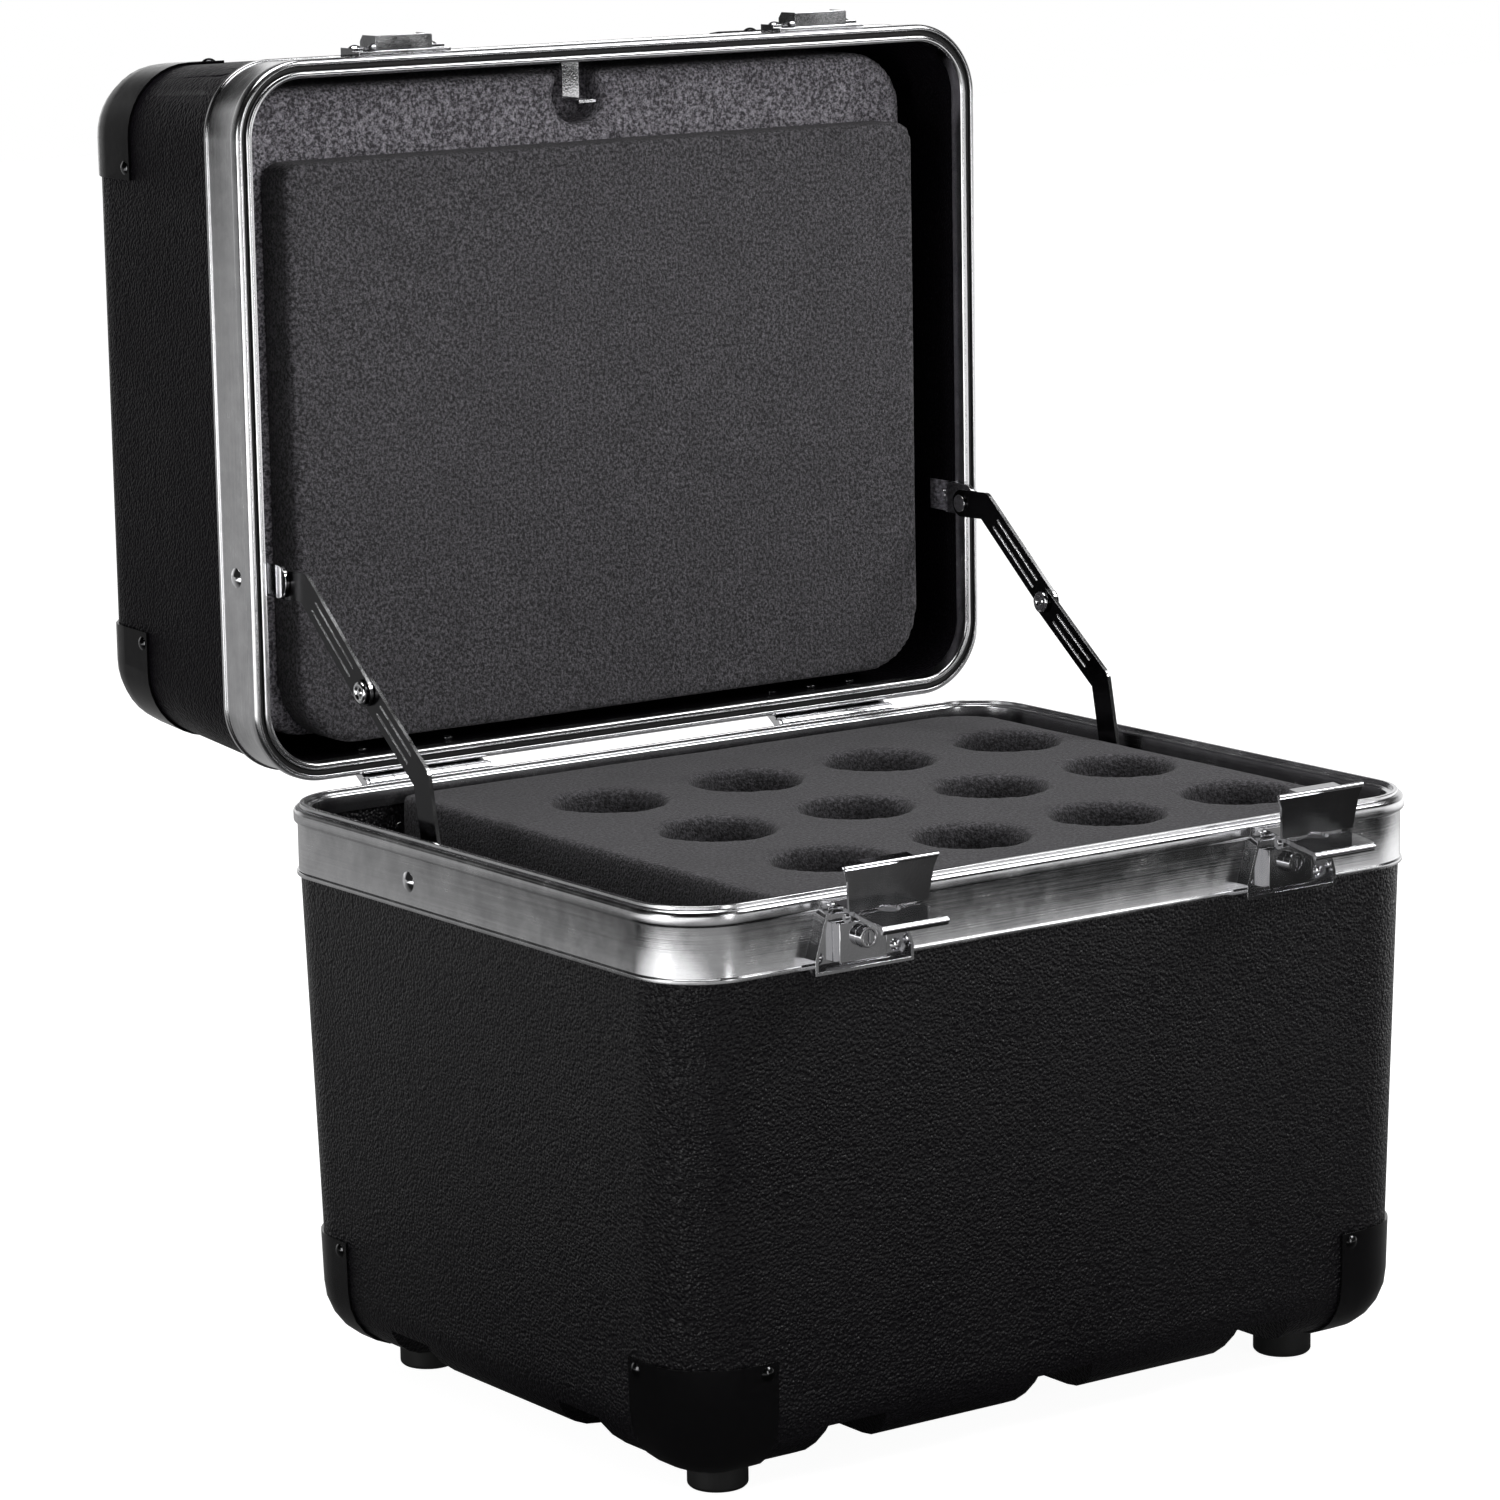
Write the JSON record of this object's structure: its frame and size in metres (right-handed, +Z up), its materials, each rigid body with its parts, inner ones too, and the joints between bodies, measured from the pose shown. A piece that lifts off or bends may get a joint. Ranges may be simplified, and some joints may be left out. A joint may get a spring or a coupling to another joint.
{
  "type": "microphone case",
  "caption": "Deep hinged transport case with a moulded shell, aluminium rims, draw latches, folding lid stays and a foam block with round drops for upright microphones.",
  "frame": {"origin": "on the floor, under the middle of the box that the open case fills", "axes": "+X to the right seen from the latches, +Y from the latches to the hinges, +Z up"},
  "size_m": [0.4396, 0.5834, 0.639],
  "materials": {
    "shell": "moulded black plastic with a pebble grain",
    "guard": "glossy black corner guards",
    "rim": "bright drawn aluminium section with fine lengthwise lines",
    "chrome": "mirror chrome plate on pressed steel",
    "rivet": "bright domed rivets",
    "stay": "black chrome plate on the steel stays and the guards' rivets",
    "foam": "dark grey flocked foam",
    "rubber": "black rubber",
    "grip": "black rubber moulded over a steel bail"
  },
  "bodies": {
    "base": {"base_shell": "shell", "base_rim": "rim", "base_corner_front_left": "guard", "base_corner_front_right": "guard", "base_corner_back_left": "guard", "base_corner_back_right": "guard", "base_corner_rivets": "stay", "feet": "rubber", "floor_pad": "foam", "mic_foam": "foam", "latch_pan_left": "chrome", "latch_pan_right": "chrome", "latch_rivets": "rivet", "latch_pin_left": "chrome", "latch_pin_right": "chrome", "lock_body_left": "chrome", "lock_body_right": "chrome", "hinge_base_leaf_left": "chrome", "hinge_base_leaf_right": "chrome", "hinge_pin_left": "chrome", "hinge_pin_right": "chrome", "hinge_base_rivets": "rivet", "stay_base_bracket_left": "stay", "stay_base_bracket_right": "stay", "stay_base_rivets": "rivet"},
    "lever_left": {"lever_left": "chrome"},
    "lever_right": {"lever_right": "chrome"},
    "claw_left": {"claw_left": "chrome"},
    "claw_right": {"claw_right": "chrome"},
    "lock_plug_left": {"lock_plug_left": "chrome"},
    "lock_plug_right": {"lock_plug_right": "chrome"},
    "stay_lower_left": {"stay_lower_left": "stay"},
    "stay_lower_right": {"stay_lower_right": "stay"},
    "stay_upper_left": {"stay_upper_left": "stay"},
    "stay_upper_right": {"stay_upper_right": "stay"},
    "lid": {"lid_shell": "shell", "lid_rim": "rim", "lid_seal": "rubber", "lid_corner_front_left": "guard", "lid_corner_front_right": "guard", "lid_corner_back_left": "guard", "lid_corner_back_right": "guard", "lid_corner_rivets": "stay", "lid_foam_back": "foam", "lid_foam_pad": "foam", "keeper_left": "chrome", "keeper_right": "chrome", "keeper_rivets": "rivet", "hinge_lid_leaf_left": "chrome", "hinge_lid_leaf_right": "chrome", "hinge_lid_rivets": "rivet", "stay_lid_bracket_left": "chrome", "stay_lid_bracket_right": "chrome", "stay_lid_rivets": "rivet", "catch_bracket": "chrome", "catch_rivets": "rivet", "handle_plate": "chrome", "handle_rivets": "rivet"},
    "handle_bar": {"handle_bar": "grip"}
  },
  "joints": [
    {"name": "lid_hinge", "type": "hinge", "parent": "base", "child": "lid", "pos_m": [0, 0.10502, 0.2775], "axis": [1, 0, 0], "range_deg": [0, 90]},
    {"name": "lever_left_pivot", "type": "hinge", "parent": "base", "child": "lever_left", "pos_m": [-0.124, -0.25448, 0.273], "axis": [1, 0, 0], "range_deg": [0, 81]},
    {"name": "claw_left_pivot", "type": "hinge", "parent": "lever_left", "child": "claw_left", "pos_m": [-0.124, -0.26633, 0.27112], "axis": [1, 0, 0], "range_deg": [-88.1, 0]},
    {"name": "lock_plug_left_turn", "type": "hinge", "parent": "base", "child": "lock_plug_left", "pos_m": [-0.124, -0.25148, 0.2575], "axis": [0, 1, 0], "range_deg": [0, 90]},
    {"name": "lever_right_pivot", "type": "hinge", "parent": "base", "child": "lever_right", "pos_m": [0.124, -0.25448, 0.273], "axis": [1, 0, 0], "range_deg": [0, 81]},
    {"name": "claw_right_pivot", "type": "hinge", "parent": "lever_right", "child": "claw_right", "pos_m": [0.124, -0.26633, 0.27112], "axis": [1, 0, 0], "range_deg": [-88.1, 0]},
    {"name": "lock_plug_right_turn", "type": "hinge", "parent": "base", "child": "lock_plug_right", "pos_m": [0.124, -0.25148, 0.2575], "axis": [0, 1, 0], "range_deg": [0, 90]},
    {"name": "stay_lower_left_pivot", "type": "hinge", "parent": "base", "child": "stay_lower_left", "pos_m": [-0.204, -0.02538, 0.2579], "axis": [1, 0, 0], "range_deg": [-79.4, 0]},
    {"name": "stay_upper_left_pivot", "type": "hinge", "parent": "lid", "child": "stay_upper_left", "pos_m": [-0.204, 0.10052, 0.3815], "axis": [1, 0, 0], "range_deg": [0, 18.3]},
    {"name": "stay_lower_right_pivot", "type": "hinge", "parent": "base", "child": "stay_lower_right", "pos_m": [0.204, -0.02538, 0.2579], "axis": [1, 0, 0], "range_deg": [-79.4, 0]},
    {"name": "stay_upper_right_pivot", "type": "hinge", "parent": "lid", "child": "stay_upper_right", "pos_m": [0.204, 0.10052, 0.3815], "axis": [1, 0, 0], "range_deg": [0, 18.3]},
    {"name": "handle_pivot", "type": "hinge", "parent": "lid", "child": "handle_bar", "pos_m": [0, 0.28402, 0.474], "axis": [1, 0, 0], "range_deg": [0, 90]}
  ],
  "couplings": [
    {"joint": "claw_left_pivot", "follows": "lever_left_pivot", "ratio": -1.0864},
    {"joint": "claw_right_pivot", "follows": "lever_right_pivot", "ratio": -1.0864},
    {"joint": "stay_lower_left_pivot", "follows": "lid_hinge", "ratio": -0.88078},
    {"joint": "stay_upper_left_pivot", "follows": "lid_hinge", "ratio": 0.20222},
    {"joint": "stay_lower_right_pivot", "follows": "lid_hinge", "ratio": -0.88078},
    {"joint": "stay_upper_right_pivot", "follows": "lid_hinge", "ratio": 0.20222}
  ]
}
